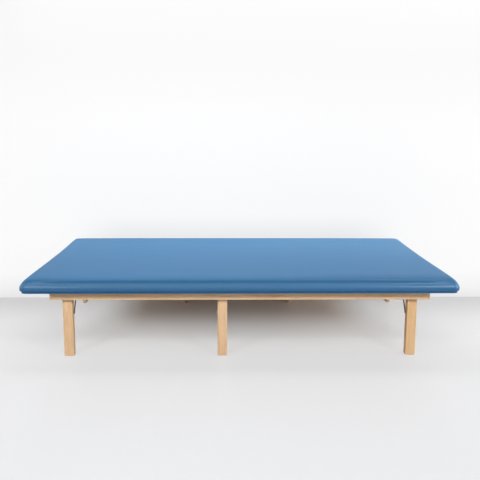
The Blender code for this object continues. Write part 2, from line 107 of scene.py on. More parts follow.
# The base at the wall: four birch boards on edge, the hinge rail between them and the ledger
# behind. All of it is planed and clear-lacquered, the uprights with their grain upright.
class Shade:
    """A shader socket that plain arithmetic works on."""

    def __init__(self, tree, socket):
        self.tree = tree
        self.socket = socket

    def made(self, kind, settings=None, sockets=None, output=0):
        """The output of a new node, with its settings made first and then its sockets."""
        node = self.tree.nodes.new(kind)
        for name, value in (settings or {}).items():
            if name == "stops":
                ramp = node.color_ramp.elements
                while len(ramp) < len(value):
                    ramp.new(1)
                for stop, (place, colour) in zip(ramp, value):
                    stop.position = place
                    stop.color = (*colour, 1)
            else:
                setattr(node, name, value)
        for name, value in (sockets or {}).items():
            if isinstance(value, Shade):
                self.tree.links.new(value.socket, node.inputs[name])
            else:
                node.inputs[name].default_value = value
        return Shade(self.tree, node.outputs[output])

    def maths(self, operation, first, second=0.0):
        return self.made("ShaderNodeMath", {"operation": operation}, {0: first, 1: second})

    def __add__(self, other):
        return self.maths("ADD", self, other)

    def __sub__(self, other):
        return self.maths("SUBTRACT", self, other)

    def __mul__(self, other):
        return self.maths("MULTIPLY", self, other)

    def __radd__(self, other):
        return self.maths("ADD", other, self)

    def __rsub__(self, other):
        return self.maths("SUBTRACT", other, self)

    def __rmul__(self, other):
        return self.maths("MULTIPLY", other, self)

    def __abs__(self):
        return self.maths("ABSOLUTE", self)

    def sine(self):
        return self.maths("SINE", self)

    def eased(self, low, high):
        """From 0 below low to 1 above high, smoothly."""
        sockets = {"Value": self, "From Min": low, "From Max": high}
        return self.made("ShaderNodeMapRange", {"interpolation_type": "SMOOTHSTEP"}, sockets)

    def stretched(self, scale, place=(0, 0, 0)):
        """Coordinates scaled and moved."""
        sockets = {"Vector": self, "Scale": scale, "Location": place}
        return self.made("ShaderNodeMapping", {}, sockets)

    def mottle(self, scale, detail, roughness=0.5):
        """Soft noise around one half."""
        sockets = {"Vector": self, "Scale": scale, "Detail": detail, "Roughness": roughness}
        return self.made("ShaderNodeTexNoise", {}, sockets)

    def axes(self):
        """The three components of a vector."""
        return [self.made("ShaderNodeSeparateXYZ", {}, {0: self}, axis) for axis in range(3)]

    def between(self, low, high):
        """A mix of two colours, by this share."""
        sockets = {0: self, 6: low, 7: high}
        for key in (6, 7):
            if not isinstance(sockets[key], Shade):
                sockets[key] = (*sockets[key], 1)
        return self.made("ShaderNodeMix", {"data_type": "RGBA"}, sockets, 2)


def new_finish(name, roughness, metallic=0.0):
    """A material, its principled shader, and the coordinates of the piece it is on."""
    material = bpy.data.materials.new(name)
    material.use_nodes = True
    tree = material.node_tree
    shader = tree.nodes["Principled BSDF"]
    shader.inputs["Roughness"].default_value = roughness
    shader.inputs["Metallic"].default_value = metallic
    coordinates = tree.nodes.new("ShaderNodeTexCoord")
    return material, shader, Shade(tree, coordinates.outputs["Object"])


def feed(shader, **values):
    """Links values to the shader's sockets, with _ for the spaces in their names."""
    for name, value in values.items():
        socket = shader.inputs[name.replace("_", " ")]
        value.tree.links.new(value.socket, socket)


birch_pale, birch_dark = (0.86, 0.61, 0.375), (0.64, 0.385, 0.20)
# The flecks' colour, and the colour of a painted shade on one face.
birch_fleck, birch_face_shade = (0.58, 0.36, 0.20), (0.40, 0.22, 0.10)
end_pale, end_dark = (0.60, 0.385, 0.215), (0.43, 0.25, 0.13)


def birch_finish(name, grain, ring_centre, pale=birch_pale, dark=birch_dark, face_shade_share=0.0):
    """Lacquered birch with its grain along one axis, cut from around a far-off ring centre.

    A painted shade darkens the face towards -X by this share.
    """
    material, shader, place = new_finish(name, 0.42)

    def drawn_out(across, lengthwise):
        """A scale with one share across the grain and another along it."""
        return [lengthwise if axis == grain else across for axis in range(3)]

    waver = place.stretched(drawn_out(1.0, 0.06)).mottle(9, 3) - 0.5
    spread = place.stretched(drawn_out(1.0, 0.012), ring_centre)
    radius = spread.made("ShaderNodeVectorMath", {"operation": "LENGTH"}, {0: spread}, "Value")
    rings_per_metre, ring_waver = 950, 22
    rings = ((radius * rings_per_metre + waver * ring_waver).sine() * 0.5 + 0.5).eased(0.1, 1.0)
    fibres = place.stretched(drawn_out(1.0, 0.06)).mottle(520, 2, 0.6)
    flecks = place.stretched(drawn_out(3.0, 0.35)).mottle(330, 1)
    tone = place.mottle(2.6, 2)
    streaks = place.stretched(drawn_out(0.5, 0.09)).mottle(88, 3, 0.6)
    face = tone * 0.35 + rings * 0.22 + fibres * 0.25 + streaks.eased(0.34, 0.68) * 0.34
    face = face.between(pale, dark)
    face = flecks.eased(0.66, 0.76).between(face, birch_fleck)
    normals = place.made("ShaderNodeTexCoord", {}, {}, "Normal").axes()
    # A painted shade on the face towards -X, by the given share.
    face = ((1 - normals[0].eased(-0.9, -0.6)) * face_shade_share).between(face, birch_face_shade)
    end_wood = (rings * 0.6 + fibres * 0.4).between(end_pale, end_dark)
    pitted = fibres - flecks * 0.4
    bump = {"Strength": 0.18, "Distance": 0.0004, "Height": pitted}
    feed(
        shader,
        Base_Color=abs(normals[grain]).eased(0.75, 0.9).between(face, end_wood),
        Roughness=0.36 + fibres * 0.16,
        Normal=place.made("ShaderNodeBump", {}, bump),
    )
    return material


upright_birch = birch_finish("lacquered birch, upright grain", 2, (0.31, 0.12, 0.0))
long_birch = birch_finish("lacquered birch, lengthwise grain", 0, (0.0, 0.07, -0.55))


def dress(material, *names):
    """Gives CAD pieces their finish."""
    for name in names:
        nodes[name].data.materials.clear()
        nodes[name].data.materials.append(material)


dress(upright_birch, "upright_left", "upright_inner_left", "upright_inner_right", "upright_right")
dress(long_birch, "hinge_rail", "wall_ledger")


# The board: birch plywood, sanded and left bare. Its broad faces show rotary-cut veneer, and
# its edges the thirteen plies, though the cover hides most of those.
def plywood_finish():
    material, shader, place = new_finish("sanded birch plywood", 0.6)
    board_low, board_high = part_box("platform_board")
    plies, bands_per_metre, band_waver = 13, 18, 60
    y, z = place.axes()[1:]
    waver = place.stretched((0.5, 5.0, 1.0)).mottle(3.2, 4, 0.55)
    bands = ((waver * band_waver + y * bands_per_metre).sine() * 0.5 + 0.5).eased(0.2, 0.95)
    pores = place.stretched((0.05, 1.0, 1.0)).mottle(700, 2)
    face = (bands * 0.4 + pores * 0.5).between((0.72, 0.51, 0.315), (0.55, 0.36, 0.20))
    ply = ((z - board_low.z) * (plies * math.pi / (board_high.z - board_low.z))).sine()
    edge = (ply * 0.5 + 0.5).eased(0.3, 0.7).between((0.66, 0.46, 0.27), (0.36, 0.22, 0.12))
    upward = abs(place.made("ShaderNodeTexCoord", {}, {}, "Normal").axes()[2])
    bump = {"Strength": 0.25, "Distance": 0.0004, "Height": pores}
    feed(
        shader,
        Base_Color=upward.eased(0.5, 0.7).between(edge, face),
        Roughness=0.52 + pores * 0.16,
        Normal=place.made("ShaderNodeBump", {}, bump),
    )
    return material


dress(plywood_finish(), "platform_board")

# The frame glued and screwed under the board: two long rails, two end rails and two joists, of
# the same birch with its grain along each.
cross_birch = birch_finish("lacquered birch, crosswise grain", 1, (0.2, 0.0, -0.5))
dress(long_birch, "front_rail", "rear_rail")
dress(cross_birch, "end_rail_left", "end_rail_right", "joist_left", "joist_right")

# The three legs: birch posts, planed and lacquered, with their grain upright. The right one is
# of yellower stock, with a painted shade on its face towards the middle.
right_pale, right_dark = (0.82, 0.56, 0.315), (0.61, 0.36, 0.165)
leg_birch = birch_finish("lacquered birch of the legs", 2, (-0.13, 0.42, 0.0))
right_birch = birch_finish(
    "lacquered birch of the right leg", 2, (-0.22, 0.37, 0.0), right_pale, right_dark, 0.5
)
dress(leg_birch, "leg_left", "leg_middle")
dress(right_birch, "leg_right")


# The hinges and stays: pressed from steel strip and zinc-plated, with a fine drawn grain and
# faint cloudy stains. Leaves and brackets are bright, the stays' links are a copy painted darker
# as shade, and the turned pins, rivets and bolts are duller.
def zinc_finish(name, colour, stained, base_roughness):
    material, shader, place = new_finish(name, base_roughness, 1.0)
    drawn = place.stretched((40, 40, 900)).mottle(1, 2)
    clouds = place.mottle(70, 3)
    bump = {"Strength": 0.15, "Distance": 0.0002, "Height": drawn}
    feed(
        shader,
        Base_Color=clouds.eased(0.35, 0.7).between(colour, stained),
        Roughness=base_roughness + (clouds - 0.5) * 0.18 + (drawn - 0.5) * 0.14,
        Normal=place.made("ShaderNodeBump", {}, bump),
    )
    return material


bright, bright_stain = (0.42, 0.42, 0.425), (0.32, 0.325, 0.33)
# The stays' links: a copy of the zinc painted darker, as shade.
stay_painted_shade, stay_shade_stain = (0.17, 0.17, 0.175), (0.11, 0.11, 0.115)
dull, dull_stain = (0.56, 0.565, 0.57), (0.44, 0.45, 0.455)
bright_zinc = zinc_finish("bright zinc", bright, bright_stain, 0.30)
shaded_zinc = zinc_finish("zinc of the stays, painted darker as shade", stay_painted_shade, stay_shade_stain, 0.34)
dull_zinc = zinc_finish("zinc of the turned parts", dull, dull_stain, 0.40)
sides = ("left", "middle", "right")
for side in sides:
    dress(bright_zinc, f"fold_hinge_{side}_board_leaf", f"fold_hinge_{side}_rail_leaf")
    dress(bright_zinc, f"leg_{side}_board_leaf", f"leg_{side}_hinge_leaf")
    dress(bright_zinc, f"leg_{side}_stay_bracket")
    dress(shaded_zinc, f"leg_{side}_stay_lower", f"leg_{side}_stay_upper")
    dress(dull_zinc, f"fold_hinge_{side}_pin", f"leg_{side}_hinge_pin", f"leg_{side}_stay_rivet")
    dress(dull_zinc, f"leg_{side}_stay_bolt", f"leg_{side}_elbow_rivet", f"leg_{side}_elbow_cap")


# The screws: countersunk, cross-recessed and zinc-plated, each turned in by hand to no angle in
# particular. Four fill the holes of each hinge leaf and two those of each stay's bracket.
class Tree:
    """A tree of geometry nodes, with a method that adds one node to it."""

    def __init__(self, name, inputs):
        self.group = bpy.data.node_groups.new(name, "GeometryNodeTree")
        face = self.group.interface
        face.new_socket("Geometry", in_out="OUTPUT", socket_type="NodeSocketGeometry")
        for label, kind in inputs.items():
            face.new_socket(label, in_out="INPUT", socket_type=kind)
        self.given = self.group.nodes.new("NodeGroupInput").outputs

    def made(self, kind, settings=None, sockets=None, output=0):
        node = self.group.nodes.new(kind)
        for name, value in (settings or {}).items():
            setattr(node, name, value)
        for name, value in (sockets or {}).items():
            if isinstance(value, bpy.types.NodeSocket):
                self.group.links.new(value, node.inputs[name])
            else:
                node.inputs[name].default_value = value
        return node.outputs[output]

    def end(self, geometry, material):
        """Ends the tree with real geometry in one material."""
        whole = self.made("GeometryNodeRealizeInstances", {}, {"Geometry": geometry})
        whole = self.made("GeometryNodeSetMaterial", {}, {"Geometry": whole, "Material": material})
        self.group.links.new(whole, self.group.nodes.new("NodeGroupOutput").inputs[0])

    def grown(self, name, source, values):
        """A plain mesh object that this tree makes from a source mesh."""
        carrier = bpy.data.objects.new("carrier", source)
        bpy.context.scene.collection.objects.link(carrier)
        modifier = carrier.modifiers.new("nodes", "NODES")
        modifier.node_group = self.group
        for item in self.group.interface.items_tree:
            if item.in_out == "INPUT" and item.name in values:
                modifier[item.identifier] = values[item.name]
        graph = bpy.context.evaluated_depsgraph_get()
        mesh = bpy.data.meshes.new_from_object(carrier.evaluated_get(graph))
        carrier.modifiers.clear()
        bpy.data.objects.remove(carrier)
        piece = bpy.data.objects.new(name, mesh)
        bpy.context.scene.collection.objects.link(piece)
        return piece


def screw_tree():
    tree = Tree(
        "screw heads",
        {
            "Geometry": "NodeSocketGeometry",
            "Head Radius": "NodeSocketFloat",
            "Head Depth": "NodeSocketFloat",
            "Recess Width": "NodeSocketFloat",
            "Facing": "NodeSocketVector",
            "Material": "NodeSocketMaterial",
        },
    )
    sizes = "Head Radius", "Head Depth", "Recess Width"
    radius, depth, width = (tree.given[name] for name in sizes)
    shank_radius, recess_reach = 0.0012, 1.15
    head = tree.made(
        "GeometryNodeMeshCone",
        {"fill_type": "NGON"},
        {"Vertices": 20, "Radius Top": radius, "Radius Bottom": shank_radius, "Depth": depth},
    )
    foot = tree.made("ShaderNodeMath", {"operation": "MULTIPLY"}, {0: depth, 1: -1.0})
    foot = tree.made("ShaderNodeCombineXYZ", {}, {"Z": foot})
    head = tree.made("GeometryNodeTransform", {}, {"Geometry": head, "Translation": foot})
    length = {0: radius, 1: recess_reach}
    length = tree.made("ShaderNodeMath", {"operation": "MULTIPLY"}, length)
    bars = []
    for pair in ((length, width), (width, length)):
        size = tree.made("ShaderNodeCombineXYZ", {}, {"X": pair[0], "Y": pair[1], "Z": depth})
        bars.append(tree.made("GeometryNodeMeshCube", {}, {"Size": size}))
    cross = tree.group.nodes.new("GeometryNodeMeshBoolean")
    cross.operation = "DIFFERENCE"
    cross.solver = "EXACT"
    tree.group.links.new(head, cross.inputs["Mesh 1"])
    for bar in bars:
        tree.group.links.new(bar, cross.inputs["Mesh 2"])
    points = tree.made("GeometryNodeMeshToPoints", {}, {"Mesh": tree.given["Geometry"]})
    full_turn, spin_seed = 6.28, 7
    spin = {2: 0.0, 3: full_turn, 8: spin_seed}
    spin = tree.made("FunctionNodeRandomValue", {"data_type": "FLOAT"}, spin, 1)
    turn = tree.made("ShaderNodeCombineXYZ", {}, {"Z": spin})
    turn = tree.made("FunctionNodeEulerToRotation", {}, {0: turn})
    facing = tree.made(
        "FunctionNodeAlignRotationToVector", {"axis": "Z"}, {"Vector": tree.given["Facing"]}
    )
    facing = tree.made(
        "FunctionNodeRotateRotation", {"rotation_space": "LOCAL"}, {0: facing, 1: turn}
    )
    placed = tree.made(
        "GeometryNodeInstanceOnPoints",
        {},
        {"Points": points, "Instance": cross.outputs[0], "Rotation": facing},
    )
    tree.end(placed, tree.given["Material"])
    return tree


screw_maker = screw_tree()


def drive_screws(name, body, spots, facing):
    """A row of screws on one body, all with their heads facing the same way."""
    source = bpy.data.meshes.new("spots")
    source.from_pydata(spots, [], [])
    piece = screw_maker.grown(
        name,
        source,
        {
            "Head Radius": 0.0034,
            "Head Depth": 0.0018,
            "Recess Width": 0.0007,
            "Facing": facing,
            "Material": dull_zinc,
        },
    )
    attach(piece, body)


# A leaf's four screws, as shares of its width and of its reach from the pin.
leaf_screws = ((-0.36, 0.78), (-0.13, 0.48), (0.13, 0.48), (0.36, 0.78))
leaf_reach = 0.030
leaf_thickness = 0.0020
pin_drop = 0.0032
screw_sink = 0.0004


def board_leaf_spots(node, width):
    """Where the screws of a leaf under the board are: its lower face, behind the pin."""
    low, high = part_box(node)
    spots = []
    for share, reach in leaf_screws:
        spot = (low.x + high.x) / 2 + width * share, low.y + pin_drop + leaf_reach * reach
        spots.append((*spot, high.z - leaf_thickness + screw_sink))
    return spots


def hanging_leaf_spots(node, width):
    """Where the screws of a leaf on a leg or rail are: its rear face, below the pin."""
    low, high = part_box(node)
    spots = []
    for share, reach in leaf_screws:
        spot = (low.x + high.x) / 2 - width * share, low.y + leaf_thickness - screw_sink
        spots.append((*spot, high.z - pin_drop - leaf_reach * reach))
    return spots


fold_width, leg_width = 0.120, 0.048
bracket_thickness = 0.0025
hole_offset, hole_spread = 0.00125, 0.0075
# The side of its ear that each bracket's holes are on.
bracket_turn = {"left": 1, "middle": -1, "right": -1}
downward, rearward = (0, 0, -1), (0, 1, 0)
under_board, on_rail = [], []
for side in sides:
    under_board += board_leaf_spots(f"fold_hinge_{side}_board_leaf", fold_width)
    under_board += board_leaf_spots(f"leg_{side}_board_leaf", leg_width)
    on_rail += hanging_leaf_spots(f"fold_hinge_{side}_rail_leaf", fold_width)
    hinge_screws = hanging_leaf_spots(f"leg_{side}_hinge_leaf", leg_width)
    drive_screws(f"leg_{side}_hinge_screws", f"leg_{side}", hinge_screws, rearward)
    low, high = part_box(f"leg_{side}_stay_bracket")
    offset = bracket_turn[side] * hole_offset
    for along in (-hole_spread, hole_spread):
        spot = (low.x + high.x) / 2 + offset, (low.y + high.y) / 2 + along
        under_board.append((*spot, high.z - bracket_thickness + screw_sink))
drive_screws("screws_under_board", "platform", under_board, downward)
drive_screws("fold_hinge_screws", "base", on_rail, rearward)

# The mat: one block of foam under blue upholstery vinyl, pulled down over the board's edge. Its
# top is softly crowned, and along each side the vinyl steps down to a roll that is fullest low.
mat_low, mat_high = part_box("mat")
mat_half = ((mat_high.x - mat_low.x) / 2, (mat_high.y - mat_low.y) / 2)
mat_middle = (mat_low + mat_high) / 2
# How far in and how high the vinyl runs: up the long sides, up the ends, and over the top.
edge_profile = (
    (0.0022, 0.0),
    (0.0027, 0.0045),
    (0.0040, 0.0092),
    (0.0066, 0.0145),
    (0.0104, 0.0194),
    (0.0152, 0.0242),
    (0.0202, 0.0296),
    (0.0220, 0.0346),
    (0.0222, 0.0400),
    (0.0236, 0.0446),
    (0.0274, 0.0480),
    (0.0330, 0.0500),
)
end_profile = (
    (0.0002, 0.0),
    (0.0000, 0.0040),
    (0.0006, 0.0090),
    (0.0026, 0.0145),
    (0.0056, 0.0200),
    (0.0092, 0.0256),
    (0.0132, 0.0308),
    (0.0174, 0.0358),
    (0.0216, 0.0402),
    (0.0258, 0.0442),
    (0.0300, 0.0474),
    (0.0330, 0.0496),
)
top_profile = ((0.0330, 0.0500), (0.045, 0.0530), (0.062, 0.0548), (0.09, 0.0560), (0.4, 0.0568))
corner_round, least_round = 0.042, 0.018
mat_crown, mat_unevenness = 0.0052, 0.0009
swells_x, swells_y, swell_seed = 4.1, 4.7, 3.0
side_draw, draw_height = 0.004, 0.0080
step_start, step_fade = 0.03, 0.16
front_tuck, tuck_reach = 0.42, 0.16
front_fall, fall_reach = 0.0036, 0.24
rear_rise, rise_start, rise_reach = 0.0085, 0.3, 1.1
slice_width = 0.045
foot_crease = 0.9


def height_at(inset):
    """The mat's height above its foot at a distance in from its fullest line."""
    knots = (*edge_profile[2:-1], *top_profile)
    if inset <= knots[0][0]:
        return knots[0][1]
    for (start, low), (end, high) in zip(knots, knots[1:]):
        if inset <= end:
            return low + (high - low) * (inset - start) / (end - start)
    return knots[-1][1]


def grid_lines(half):
    """Distances from the middle at which the mat is sliced: close together near the edges."""
    insets = (0.0330, 0.039, 0.047, 0.058, 0.074, 0.098, 0.132, 0.176)
    inner = half - insets[-1]
    steps = round(2 * inner / slice_width)
    middle = [-inner + 2 * inner * step / steps for step in range(steps + 1)]
    near = [inset - half for inset in insets[:-1]]
    return near + middle + [half - inset for inset in reversed(insets[:-1])]


def on_plan(x, y, inset):
    """A point of a square plan moved so that the plan's corners are round."""
    radius = max(corner_round - inset, least_round)
    spots = []
    for value, half in ((x, mat_half[0] - inset), (y, mat_half[1] - inset)):
        spots.append(max(0.0, abs(value) - (half - radius)) / radius)
    a, b = spots
    round_a = a * math.sqrt(1 - b * b / 2)
    round_b = b * math.sqrt(1 - a * a / 2)
    new_x = math.copysign(min(abs(x), mat_half[0] - inset - radius) + radius * round_a, x)
    new_y = math.copysign(min(abs(y), mat_half[1] - inset - radius) + radius * round_b, y)
    return new_x, new_y


def build_mat():
    lines = grid_lines(mat_half[0]), grid_lines(mat_half[1])
    outer = edge_profile[-1][0]
    last = len(lines[0]) - 1, len(lines[1]) - 1
    form = bmesh.new()

    def ridge(x, y, least):
        """The distance from the edge, which shrinks towards the corners."""
        a, b = mat_half[0] - abs(x), mat_half[1] - abs(y)
        a, b = max(a, least), max(b, least)
        return (a**-4 + b**-4) ** (-1 / 4)

    def tucked(x, y):
        """On the front side the whole edge is steeper than elsewhere."""
        depth = mat_half[1] + y
        if depth > tuck_reach:
            return y
        share = front_tuck * (1 - (x / mat_half[0]) ** 8)
        return y - share * depth * (1 - depth / tuck_reach) ** 1.5

    def top_point(i, j):
        x, y = lines[0][i], lines[1][j]
        height = height_at(ridge(x, y, outer))
        u, v = x / mat_half[0], y / mat_half[1]
        height += mat_crown * (1 - u**4) * (1 - v**4)
        height += rear_rise * min(1.0, max(0.0, (v + rise_start) / rise_reach)) ** 2
        height -= front_fall * max(0.0, 1 - (mat_half[1] + y) / fall_reach) ** 2
        inner = (1 - u**8) * (1 - v**8)
        swell = Vector((x * swells_x, y * swells_y, swell_seed))
        height += mat_unevenness * inner * noise.noise(swell)
        return x, y, height

    def side_point(i, j, step):
        x, y, rim_height = top_point(i, j)
        stepped = 0.0
        if j in (0, last[1]):
            stepped = min(1.0, max(0.0, (mat_half[0] - abs(x) - step_start) / step_fade))
        inset, height = [
            plain + (shaped - plain) * stepped
            for plain, shaped in zip(end_profile[step], edge_profile[step])
        ]
        share = rim_height / height_at(outer)
        grown = [value * (half - inset) / (half - outer) for value, half in zip((x, y), mat_half)]
        draw = side_draw * min(1.0, height / draw_height)
        u, v = x / (mat_half[0] - outer), y / (mat_half[1] - outer)
        if i in (0, last[0]) and j not in (0, last[1]):
            grown[0] -= math.copysign(draw * (1 - v * v), x)
        if j in (0, last[1]) and i not in (0, last[0]):
            grown[1] -= math.copysign(draw * (1 - u * u), y)
        return (*on_plan(*grown, inset), height * share)

    def placed(point):
        x, y, z = point
        if z > 0:
            y = tucked(x, y)
        return form.verts.new((x + mat_middle.x, y + mat_middle.y, z + mat_low.z))

    top, foot = {}, {}
    for i in range(last[0] + 1):
        for j in range(last[1] + 1):
            x, y, height = top_point(i, j)
            if i in (0, last[0]) or j in (0, last[1]):
                u, v = x / (mat_half[0] - outer), y / (mat_half[1] - outer)
                if i in (0, last[0]):
                    x -= math.copysign(side_draw * (1 - v * v), x)
                if j in (0, last[1]):
                    y -= math.copysign(side_draw * (1 - u * u), y)
            top[i, j] = placed((*on_plan(x, y, outer), height))
            if 0 < i < last[0] and 0 < j < last[1]:
                foot[i, j] = placed((*on_plan(lines[0][i], lines[1][j], outer), 0.0))
    rim = [(i, 0) for i in range(last[0])] + [(last[0], j) for j in range(last[1])]
    rim += [(i, last[1]) for i in range(last[0], 0, -1)] + [(0, j) for j in range(last[1], 0, -1)]
    rings = []
    for step in range(len(edge_profile) - 1):
        rings.append([placed(side_point(i, j, step)) for i, j in rim])
    rings.append([top[spot] for spot in rim])
    foot.update(zip(rim, rings[0]))
    for i in range(last[0]):
        for j in range(last[1]):
            square = ((i, j), (i + 1, j), (i + 1, j + 1), (i, j + 1))
            form.faces.new([top[spot] for spot in square])
            form.faces.new([foot[spot] for spot in reversed(square)])
    for lower, upper in zip(rings, rings[1:]):
        for index in range(len(rim)):
            after = (index + 1) % len(rim)
            form.faces.new((lower[index], lower[after], upper[after], upper[index]))
    bmesh.ops.recalc_face_normals(form, faces=form.faces)
    creases = form.edges.layers.float.new("crease_edge")
    for edge in form.edges:
        if all(vert in rings[0] for vert in edge.verts):
            edge[creases] = foot_crease
    mesh = bpy.data.meshes.new("padded_mat")
    form.to_mesh(mesh)
    form.free()
    mesh.shade_smooth()
    return mesh


def vinyl_finish():
    """Blue upholstery vinyl: satin, with a fine pressed grain, slightly cloudy in its tone.

    Its top is more matt with wear, and the roll is glossier than the hem. Its colour holds painted
    light and shade: the top paler towards the rear, a painted shade on the hem, the crease and a
    strip along the top's front edge, and a painted highlight on the roll.
    """
    material, shader, place = new_finish("blue upholstery vinyl", 0.40)
    shader.inputs["Specular IOR Level"].default_value = 0.085
    shader.inputs["Coat Roughness"].default_value = 0.28
    clouds = place.stretched((0.5, 3.2, 1.0)).mottle(3.1, 3)
    grain = place.made(
        "ShaderNodeTexVoronoi",
        {"feature": "SMOOTH_F1"},
        {"Vector": place, "Scale": 760.0, "Smoothness": 0.6},
        "Distance",
    )
    pores = place.mottle(1500, 1)
    folds = place.stretched((1.0, 1.0, 2.0)).mottle(11, 3)
    upward = place.made("ShaderNodeTexCoord", {}, {}, "Normal").axes()[2].eased(0.80, 0.97)
    x, y, z = place.axes()
    # Painted light and shade on the top: paler towards the rear, different from left to right, and
    # a painted shade along a strip of its front edge on the right.
    across = x.eased(-1.0, 0.9)
    front_left = clouds.between((0.031, 0.135, 0.283), (0.036, 0.149, 0.302))
    front_right = clouds.between((0.032, 0.120, 0.242), (0.036, 0.134, 0.260))
    front = across.between(front_left, front_right)
    rear = across.between((0.058, 0.192, 0.366), (0.071, 0.200, 0.356))
    front_strip_shade = (1 - y.eased(-0.588, -0.49)) * x.eased(-0.1, 0.8) * 0.9
    top_light_and_shade = front_strip_shade.between(y.eased(-0.35, 0.62).between(front, rear), (0.024, 0.088, 0.184))
    # On the sides a painted shade darkens the hem and the crease under the step, and a painted
    # highlight lightens the roll between them.
    rolled = z.eased(mat_low.z - 0.002, mat_low.z + 0.012)
    creased = z.eased(mat_low.z + 0.026, mat_low.z + 0.036)
    hem_shade_tone = (0.034, 0.116, 0.246)
    roll_highlight_tone, crease_shade_tone = (0.056, 0.168, 0.314), (0.042, 0.136, 0.266)
    sides_light_and_shade = rolled.between(hem_shade_tone, creased.between(roll_highlight_tone, crease_shade_tone))
    # The top and the sides are separately painted copies of the blue, each with its own painted
    # light and shade.
    colour = upward.between(sides_light_and_shade, top_light_and_shade)
    pressed = {"Strength": 0.16, "Distance": 0.0003, "Height": grain * 0.6 + pores * 0.3}
    fine = place.made("ShaderNodeBump", {}, pressed)
    loose = {"Strength": 0.30, "Distance": 0.0010, "Height": folds, "Normal": fine}
    feed(
        shader,
        Base_Color=grain.eased(0.30, 0.85).between(colour, (0.038, 0.126, 0.258)),
        Coat_Weight=(1 - upward) * rolled * (1 - creased) * 0.22,
        Roughness=0.23 + upward * 0.21 + clouds * 0.06 + grain * 0.05,
        Normal=place.made("ShaderNodeBump", {}, loose),
    )
    return material


vinyl = vinyl_finish()
padded_mat = bpy.data.objects.new("padded_mat", build_mat())
bpy.context.scene.collection.objects.link(padded_mat)
padded_mat.data.materials.append(vinyl)
softened = padded_mat.modifiers.new("soft form", "SUBSURF")
softened.levels = 2
softened.render_levels = 2
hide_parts("mat")
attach(padded_mat, "platform")

# The cover's hem: the same vinyl, drawn straight in from the roll to the board's lower edge and
# turned in under it.
hem_low, hem_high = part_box("cover_hem")
hem_half = ((hem_high.x - hem_low.x) / 2, (hem_high.y - hem_low.y) / 2)
hem_middle = (hem_low + hem_high) / 2
hem_wall = 0.0016
hem_turn = 0.0325
hem_flange = 0.0012
hem_corner, least_corner = 0.034, 0.004
corner_steps = 10
sharpest_fold = 40
hem_tuck = 0.0032
roll_foot = mat_low.z - hem_low.z
hem_top = roll_foot + hem_tuck
# The hem's section: how far in from the cover's edge and how high above its foot.
hem_section = (
    (-0.0042, hem_top),
    (-0.0057, roll_foot),
    (-0.0070, 0.0168),
    (-0.0066, 0.0140),
    (-0.0038, 0.0112),
    (0.0010, 0.0084),
    (0.0066, 0.0052),
    (0.0112, 0.0022),
    (0.0150, 0.0),
    (hem_turn, 0.0),
    (hem_turn, hem_flange),
    (hem_wall, hem_flange),
    (hem_wall, hem_top),
)


def hem_ring(inset):
    """The points of a rectangle with round corners, this far in from the hem's edge."""
    radius = max(hem_corner - inset, least_corner)
    points = []
    for quarter in range(4):
        right = 1 if quarter in (0, 3) else -1
        back = 1 if quarter in (0, 1) else -1
        for step in range(corner_steps + 1):
            angle = (quarter + step / corner_steps) * math.pi / 2
            x = right * (hem_half[0] - inset - radius) + radius * math.cos(angle)
            y = back * (hem_half[1] - inset - radius) + radius * math.sin(angle)
            points.append((hem_middle.x + x, hem_middle.y + y))
    return points


def build_hem():
    form = bmesh.new()
    rings = []
    for inset, height in hem_section:
        rings.append([form.verts.new((x, y, hem_low.z + height)) for x, y in hem_ring(inset)])
    for ring, following in zip(rings, rings[1:] + rings[:1]):
        for index in range(len(ring)):
            after = (index + 1) % len(ring)
            form.faces.new((ring[index], following[index], following[after], ring[after]))
    bmesh.ops.recalc_face_normals(form, faces=form.faces)
    mesh = bpy.data.meshes.new("drawn_hem")
    form.to_mesh(mesh)
    form.free()
    mesh.shade_smooth()
    mesh.set_sharp_from_angle(angle=math.radians(sharpest_fold))
    return mesh


drawn_hem = bpy.data.objects.new("drawn_hem", build_hem())
bpy.context.scene.collection.objects.link(drawn_hem)
drawn_hem.data.materials.append(vinyl)
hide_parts("cover_hem")
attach(drawn_hem, "platform")


